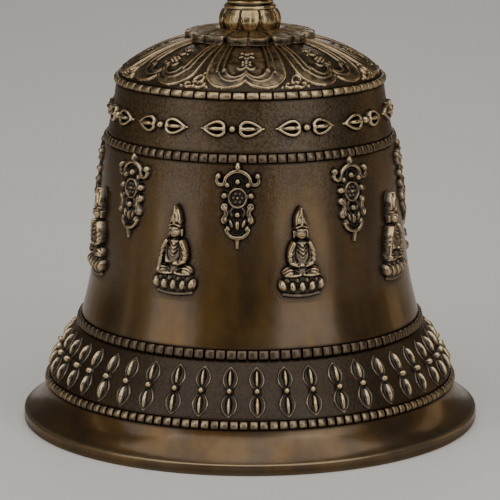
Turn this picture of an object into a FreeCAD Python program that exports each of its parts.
"""Temple hand bell: a cast bronze bell with an open mouth, a stacked brass handle that ends in a
five-pronged crown, and an iron clapper that hangs inside from an eye.

Millimetres. +Z is up, and the origin is the centre of the mouth, on the plane the rim stands on.
Every piece is its own solid in its own STEP file. The bell and the handle's castings are stacked on
one tie rod, drawn up by a nut inside the crown. The rod's lower end is the eye for the clapper.
"""

import FreeCAD
import Part

import math
import os

V = FreeCAD.Vector
Z_AXIS = V(0, 0, 1)
ORIGIN = V(0, 0, 0)

# ---- driving dimensions -------------------------------------------------------------------------
MOUTH_R = 50.0          # outer radius of the rim
BELL_H = 83.6           # rim to the flat seat on the crown
TOTAL_H = 190.0         # rim to the tip of the centre prong
RIM_H = 2.4             # height of the rim's plain edge
RIM_BEVEL = 0.4         # bevel under the rim
FOOT_IN_R = 46.4        # inner radius of the rim where it stands
CROWN_WALL = 3.6        # wall thickness at the crown
SEAT_R = 12.6           # radius of the flat seat on the crown

ROD_R = 2.5             # tie rod
ROD_GAP = 0.08          # play of each casting on the tie rod
EYE_R = 3.6             # centre line of the eye at the rod's lower end
EYE_WIRE_R = 1.2
LINK_R = 2.9            # centre line of the link's end arcs
LINK_WIRE_R = 1.0
LINK_STRAIGHT = 3.0     # straight side of the link
LOOP_R = 2.4            # corner arcs of the clapper's loop
LOOP_BAR = 3.0          # straight top bar of the clapper's loop
LOOP_WIRE_R = 1.1
HANG_GAP = 0.12         # play where one loop hangs in the next
CLAPPER_ROD_R = 1.7
BALL_R = 6.85
BALL_Z = 13.0           # height of the ball's centre at rest

PLATE_T = 0.9           # edge thickness of the lotus plate on the crown
PLATE_R = 14.2
PLATE_RISE = 1.7        # how far the plate rises from its edge to its middle
PLATE_PETALS = 8
PRONGS = 4

# heights of the joints between the stacked pieces of the handle
FOOT_Z = BELL_H + PLATE_T + PLATE_RISE - 0.3
LOWER_RING_Z = FOOT_Z + 6.6
VASE_Z = LOWER_RING_Z + 2.8
WAIST_RING_Z = VASE_Z + 22.0
DRUM_Z = WAIST_RING_Z + 3.0
UPPER_RING_Z = DRUM_Z + 17.0
LOTUS_Z = UPPER_RING_Z + 3.0
HUB_Z = LOTUS_Z + 10.0
SPIKE_Z = HUB_Z + 5.0
ROD_TOP_Z = HUB_Z + 2.6

# the hanging pieces, from the crown down
CROWN_IN_Z = BELL_H - CROWN_WALL
WASHER_T = 1.4
NUT_T = 3.6
NUT_FLATS = 8.0
NUT_Z = CROWN_IN_Z - WASHER_T - NUT_T
EYE_Z = NUT_Z - 2.0 - EYE_R - EYE_WIRE_R
LINK_TOP_Z = EYE_Z - EYE_R + EYE_WIRE_R + HANG_GAP + LINK_WIRE_R
LINK_BOTTOM_Z = LINK_TOP_Z - 2 * LINK_R - LINK_STRAIGHT
SWING_Z = LINK_BOTTOM_Z + LINK_WIRE_R + HANG_GAP + LOOP_WIRE_R
LOOP_BOTTOM_Z = SWING_Z - 2 * LOOP_R - 1.6


# ---- helpers ------------------------------------------------------------------------------------
def rz(r, z):
    """A point of an outline, at radius r and height z."""
    return V(r, 0, z)


def line(a, b):
    return Part.LineSegment(rz(*a), rz(*b)).toShape()


def arc(a, mid, b):
    return Part.Arc(rz(*a), rz(*mid), rz(*b)).toShape()


def curve(points):
    """A smooth curve through a few outline points."""
    spline = Part.BSplineCurve()
    spline.interpolate([rz(*p) for p in points])
    return spline.toShape()


def turn(edges):
    """The solid made by turning a closed outline round the Z axis."""
    face = Part.Face(Part.Wire(Part.__sortEdges__(edges)))
    solid = face.revolve(ORIGIN, Z_AXIS, 360)
    return solid if solid.ShapeType == "Solid" else Part.Solid(solid.Shells[0])


def turned(outline, bore):
    """A stacked casting: an outer outline from bottom to top, turned round the tie rod's bore.

    The outline is a list of edges with its first point lowest, and the bore is its inner radius."""
    ends = Part.Wire(Part.__sortEdges__(outline)).OrderedVertexes
    low, high = sorted((v.Point for v in (ends[0], ends[-1])), key=lambda p: p.z)
    closing = [line((high.x, high.z), (bore, high.z)),
               line((bore, high.z), (bore, low.z)),
               line((bore, low.z), (low.x, low.z))]
    return turn(outline + closing)


def cylinder(radius, z0, z1):
    return Part.makeCylinder(radius, z1 - z0, V(0, 0, z0), Z_AXIS)


def around(shape, count, phase=0.0):
    """Copies of a shape, evenly spaced round the Z axis."""
    copies = []
    for i in range(count):
        turned_copy = shape.copy()
        turned_copy.rotate(ORIGIN, Z_AXIS, phase + i * 360.0 / count)
        copies.append(turned_copy)
    return copies


def ring_wire(edges, radius):
    """A bent round wire: a circle of the given radius swept along closed edges."""
    path = Part.Wire(Part.__sortEdges__(edges))
    start = path.Edges[0].valueAt(path.Edges[0].FirstParameter)
    heading = path.Edges[0].tangentAt(path.Edges[0].FirstParameter)
    section = Part.Wire(Part.Circle(start, heading, radius).toShape())
    return path.makePipeShell([section], True, True)


def in_yz(shape):
    """Turns a shape drawn in the XZ plane into the YZ plane."""
    turned_shape = shape.copy()
    turned_shape.rotate(ORIGIN, Z_AXIS, 90)
    return turned_shape


# ---- the bell -----------------------------------------------------------------------------------
def bell_casting():
    """The cast bell: rim, flare, raised band, waist, upper band and domed crown, hollow inside."""
    bevel = RIM_BEVEL
    outer = [
        line((FOOT_IN_R, 0), (MOUTH_R - bevel, 0)),
        line((MOUTH_R - bevel, 0), (MOUTH_R, bevel)),
        line((MOUTH_R, bevel), (MOUTH_R, RIM_H - bevel)),
        line((MOUTH_R, RIM_H - bevel), (MOUTH_R - bevel, RIM_H)),
        # flare above the rim
        arc((MOUTH_R - bevel, RIM_H), (46.6, 4.9), (45.0, 8.2)),
        # lowest moulding, the raised band and the moulding above it
        arc((45.0, 8.2), (45.35, 9.4), (44.3, 10.2)),
        arc((44.3, 10.2), (41.7, 15.3), (37.6, 21.2)),
        arc((37.6, 21.2), (38.3, 22.4), (37.1, 23.4)),
        # waist
        curve([(37.1, 23.4), (34.9, 33.0), (33.1, 47.5), (31.5, 61.5)]),
        # moulding, upper band, moulding
        arc((31.5, 61.5), (31.95, 62.6), (30.95, 63.6)),
        arc((30.95, 63.6), (29.8, 69.0), (29.0, 74.3)),
        arc((29.0, 74.3), (29.55, 75.3), (28.5, 76.1)),
        # domed crown, and the flat seat of the lotus plate
        arc((28.5, 76.1), (22.0, 80.5), (SEAT_R, BELL_H)),
        line((SEAT_R, BELL_H), (ROD_R + ROD_GAP, BELL_H)),
    ]
    inner = [
        line((ROD_R + ROD_GAP, BELL_H), (ROD_R + ROD_GAP, CROWN_IN_Z)),
        line((ROD_R + ROD_GAP, CROWN_IN_Z), (9.0, CROWN_IN_Z)),
        arc((9.0, CROWN_IN_Z), (20.5, 77.4), (25.8, 72.0)),
        curve([(25.8, 72.0), (28.3, 60.0), (30.2, 46.0), (32.2, 32.0), (34.4, 22.5),
               (38.4, 15.0), (41.6, 8.6)]),
        arc((41.6, 8.6), (43.4, 3.4), (FOOT_IN_R, 0)),
    ]
    return turn(outer + inner)


def crown_lotus_plate():
    """The petalled plate between the crown and the handle: eight petals, each with two lobes."""
    lobe_r = 2.9
    half_petal = 9.6
    low = BELL_H
    edge = low + PLATE_T
    dish = turn([
        line((ROD_R + ROD_GAP, low), (PLATE_R + 0.5, low)),
        line((PLATE_R + 0.5, low), (PLATE_R + 0.5, edge)),
        arc((PLATE_R + 0.5, edge), (9.0, edge + 0.75 * PLATE_RISE), (0.4 * PLATE_R, edge + PLATE_RISE)),
        line((0.4 * PLATE_R, edge + PLATE_RISE), (ROD_R + ROD_GAP, edge + PLATE_RISE)),
        line((ROD_R + ROD_GAP, edge + PLATE_RISE), (ROD_R + ROD_GAP, low)),
    ])
    blank = cylinder(PLATE_R - lobe_r + 0.6, low - 1, edge + PLATE_RISE + 1)
    lobe = Part.makeCylinder(lobe_r, PLATE_T + PLATE_RISE + 2, V(PLATE_R - lobe_r, 0, low - 1), Z_AXIS)
    lobes = around(lobe, PLATE_PETALS, half_petal) + around(lobe, PLATE_PETALS, -half_petal)
    outline = blank.multiFuse(lobes)
    plate = dish.common(outline).removeSplitter()
    bead_seat = cylinder(6.9, FOOT_Z, edge + PLATE_RISE + 1)
    return plate.cut(bead_seat)


# ---- the handle, from the bell up ---------------------------------------------------------------
BORE_R = ROD_R + ROD_GAP


def handle_foot():
    """The flared collar that stands on the lotus plate, cut into rounded lobes."""
    z = FOOT_Z
    body = turned([
        arc((6.3, z), (6.75, z + 1.6), (6.2, z + 3.6)),
        arc((6.2, z + 3.6), (5.0, z + 5.4), (4.6, z + 6.6)),
    ], BORE_R)
    groove = Part.makeCylinder(0.55, 6.0, V(6.95, 0, z - 0.5), Z_AXIS)
    return body.cut(Part.makeCompound(around(groove, 10, 18)))


def beaded_ring(z, height, radius):
    """A turned ring with a rounded edge, one of the beaded rings that part the handle's castings."""
    lip = radius - 0.9
    return turned([arc((lip, z), (radius, z + height / 2), (lip, z + height))], BORE_R)


def handle_vase():
    """The lower half of the grip: a vase with a foot, a full belly and a narrow neck."""
    z, top = VASE_Z, WAIST_RING_Z
    return turned([
        line((5.2, z), (5.2, z + 1.2)),
        curve([(5.2, z + 1.2), (6.9, z + 5.0), (8.6, z + 11.0), (7.4, z + 17.0), (5.0, z + 20.4)]),
        arc((5.0, z + 20.4), (5.5, z + 21.3), (5.6, top)),
    ], BORE_R)


def handle_drum():
    """The upper half of the grip: a barrel with twelve shallow flutes."""
    z, top = DRUM_Z, UPPER_RING_Z
    body = turned([
        line((5.7, z), (5.7, z + 1.4)),
        arc((5.7, z + 1.4), (6.9, (z + top) / 2), (5.7, top - 1.4)),
        line((5.7, top - 1.4), (5.7, top)),
    ], BORE_R)
    flute = Part.makeCylinder(0.8, top - z - 4.0, V(7.15, 0, z + 2.0), Z_AXIS)
    ends = [Part.makeSphere(0.8, V(7.15, 0, h)) for h in (z + 2.0, top - 2.0)]
    cutter = flute.multiFuse(ends)
    return body.cut(Part.makeCompound(around(cutter, 12)))


def handle_lotus_cup():
    """The lotus that opens upwards under the prongs, with eight petals round its edge."""
    z, top = LOTUS_Z, HUB_Z
    body = turned([
        line((5.0, z), (5.0, z + 1.0)),
        curve([(5.0, z + 1.0), (6.6, z + 4.0), (9.6, z + 7.6), (10.8, z + 9.4)]),
        line((10.8, z + 9.4), (10.2, top)),
    ], BORE_R)
    notch = Part.makeCone(0.2, 1.3, 6.0, V(11.3, 0, top - 5.6), Z_AXIS)
    return body.cut(Part.makeCompound(around(notch, 8, 22.5)))


def vajra_hub():
    """The domed disc on top of the lotus that the prongs spring from. The tie rod ends in it."""
    z = HUB_Z
    dome = turn([
        line((0, z), (9.4, z)),
        arc((9.4, z), (9.9, z + 1.0), (9.4, z + 2.0)),
        arc((9.4, z + 2.0), (6.6, z + 4.3), (3.4, SPIKE_Z)),
        line((3.4, SPIKE_Z), (0, SPIKE_Z)),
        line((0, SPIKE_Z), (0, z)),
    ])
    rod_hole = cylinder(BORE_R, z - 1, ROD_TOP_Z + 0.2)
    return dome.cut(rod_hole)


def prong_path():
    """The centre line of an outer prong, from the hub out and in again to the spike's tip."""
    points = [(7.4, HUB_Z + 2.4), (11.2, HUB_Z + 6.4), (13.2, HUB_Z + 13.0), (11.2, HUB_Z + 21.0),
              (6.6, HUB_Z + 28.0), (4.15, HUB_Z + 33.0)]
    return curve(points)


def outer_prong():
    """One outer prong: a curved bar that tapers from its root to its tip, with a curled knob."""
    path = prong_path()
    sections = []
    for share, radius in ((0.0, 1.9), (0.35, 1.75), (0.7, 1.3), (1.0, 0.8)):
        first, last = path.Curve.FirstParameter, path.Curve.LastParameter
        u = first + share * (last - first)
        at = path.Curve.value(u)
        heading = path.Curve.tangent(u)[0]
        sections.append(Part.Wire(Part.Circle(at, heading, radius).toShape()))
    bar = Part.Wire(path).makePipeShell(sections, True, False)
    knob = Part.makeSphere(2.1, rz(12.2, HUB_Z + 5.6))
    clear_hub = turn([
        line((0, HUB_Z - 1), (9.95, HUB_Z - 1)),
        line((9.95, HUB_Z - 1), (9.95, HUB_Z + 2.0)),
        arc((9.95, HUB_Z + 2.0), (6.75, HUB_Z + 4.45), (3.4, SPIKE_Z + 0.15)),
        line((3.4, SPIKE_Z + 0.15), (0, SPIKE_Z + 0.15)),
        line((0, SPIKE_Z + 0.15), (0, HUB_Z - 1)),
    ])
    return bar.fuse(knob).cut(clear_hub)


def centre_prong():
    """The centre prong: a turned stem with a collar and a bud, ending in a blunt point."""
    z = SPIKE_Z
    tip = 0.6
    return turn([
        line((0, z), (3.0, z)),
        line((3.0, z), (3.0, z + 1.4)),
        curve([(3.0, z + 1.4), (2.0, z + 4.0), (2.9, z + 10.0), (1.9, z + 18.0), (2.1, z + 24.0)]),
        arc((2.1, z + 24.0), (2.9, z + 27.0), (1.9, z + 30.5)),
        arc((1.9, z + 30.5), (1.5, z + 32.9), (tip, TOTAL_H)),
        line((tip, TOTAL_H), (0, TOTAL_H)),
        line((0, TOTAL_H), (0, z)),
    ])


# ---- what holds the stack together, and the clapper ----------------------------------------------
def tie_rod():
    """The rod through crown and handle, with the clapper's eye forged on its lower end."""
    rod = cylinder(ROD_R, EYE_Z + EYE_R, ROD_TOP_Z)
    eye = Part.makeTorus(EYE_R, EYE_WIRE_R, V(0, 0, EYE_Z), V(0, 1, 0))
    return rod.fuse(eye).removeSplitter()


def crown_washer():
    return cylinder(7.0, CROWN_IN_Z - WASHER_T, CROWN_IN_Z).cut(
        cylinder(BORE_R, CROWN_IN_Z - WASHER_T - 1, CROWN_IN_Z + 1))


def crown_nut():
    """Hexagon nut that draws the stack together, with its lower corners turned off."""
    corner_r = NUT_FLATS / math.sqrt(3)
    corners = [V(corner_r * math.cos(math.radians(a)), corner_r * math.sin(math.radians(a)), NUT_Z)
               for a in range(0, 361, 60)]
    prism = Part.Face(Part.makePolygon(corners)).extrude(V(0, 0, NUT_T))
    chamfer = Part.makeCone(NUT_FLATS / 2, NUT_FLATS / 2 + NUT_T * 1.7, NUT_T, V(0, 0, NUT_Z), Z_AXIS)
    return prism.common(chamfer).cut(cylinder(BORE_R, NUT_Z - 1, NUT_Z + NUT_T + 1))


def clapper_link():
    """The oval link that hangs in the eye and carries the clapper."""
    top = LINK_TOP_Z - LINK_R
    low = LINK_BOTTOM_Z + LINK_R
    oval = [
        arc((-LINK_R, top), (0, LINK_TOP_Z), (LINK_R, top)),
        line((LINK_R, top), (LINK_R, low)),
        arc((LINK_R, low), (0, LINK_BOTTOM_Z), (-LINK_R, low)),
        line((-LINK_R, low), (-LINK_R, top)),
    ]
    return in_yz(ring_wire(oval, LINK_WIRE_R))


def clapper_rod():
    """The clapper's rod, with a straight-topped loop at its upper end and a riveted lower end."""
    half = LOOP_BAR / 2
    side = half + LOOP_R
    top, low = SWING_Z, LOOP_BOTTOM_Z
    bend = LOOP_R * (1 - math.sqrt(0.5))
    loop = ring_wire([
        line((-half, top), (half, top)),
        arc((half, top), (side - bend, top - bend), (side, top - LOOP_R)),
        line((side, top - LOOP_R), (side, low + side)),
        arc((side, low + side), (0, low), (-side, low + side)),
        line((-side, low + side), (-side, top - LOOP_R)),
        arc((-side, top - LOOP_R), (-side + bend, top - bend), (-half, top)),
    ], LOOP_WIRE_R)
    rod_low = BALL_Z - BALL_R - 0.6
    rod = cylinder(CLAPPER_ROD_R, rod_low, low + 0.4)
    return rod.fuse(loop).removeSplitter()


def clapper_ball():
    """The striker: a ball with a short neck, bored for the rod."""
    ball = Part.makeSphere(BALL_R, V(0, 0, BALL_Z))
    neck = Part.makeCone(3.6, 2.5, 3.0, V(0, 0, BALL_Z + BALL_R - 0.9), Z_AXIS)
    bore = cylinder(CLAPPER_ROD_R + 0.03, BALL_Z - BALL_R - 1, BALL_Z + BALL_R + 4)
    flat = cylinder(BALL_R, BALL_Z - BALL_R - 1, BALL_Z - BALL_R + 0.35)
    return ball.fuse(neck).cut(bore).cut(flat)


def clapper_rivet():
    """The washer that the rod's lower end is peened over, under the ball."""
    z = BALL_Z - BALL_R + 0.35
    head = turned([arc((2.4, z - 1.3), (3.2, z - 0.5), (3.2, z))], CLAPPER_ROD_R + 0.03)
    return head


PIECES = {
    "bell_casting": bell_casting,
    "crown_lotus_plate": crown_lotus_plate,
    "handle_foot": handle_foot,
    "handle_lower_ring": lambda: beaded_ring(LOWER_RING_Z, 2.8, 6.3),
    "handle_vase": handle_vase,
    "handle_waist_ring": lambda: beaded_ring(WAIST_RING_Z, 3.0, 7.0),
    "handle_drum": handle_drum,
    "handle_upper_ring": lambda: beaded_ring(UPPER_RING_Z, 3.0, 7.0),
    "handle_lotus_cup": handle_lotus_cup,
    "vajra_hub": vajra_hub,
    "centre_prong": centre_prong,
    "tie_rod": tie_rod,
    "crown_washer": crown_washer,
    "crown_nut": crown_nut,
    "clapper_link": clapper_link,
    "clapper_rod": clapper_rod,
    "clapper_ball": clapper_ball,
    "clapper_rivet": clapper_rivet,
}


def main():
    os.makedirs("parts", exist_ok=True)
    shapes = {name: make() for name, make in PIECES.items()}
    for i, prong in enumerate(around(outer_prong(), PRONGS, 45)):
        shapes[f"outer_prong_{i + 1}"] = prong
    for name, shape in shapes.items():
        if not shape.isValid():
            print("not valid:", name)
        shape.exportStep(f"parts/{name}.step")
        print(f"{name}: {len(shape.Solids)} solid, {shape.Volume / 1000:.2f} cm3")


main()
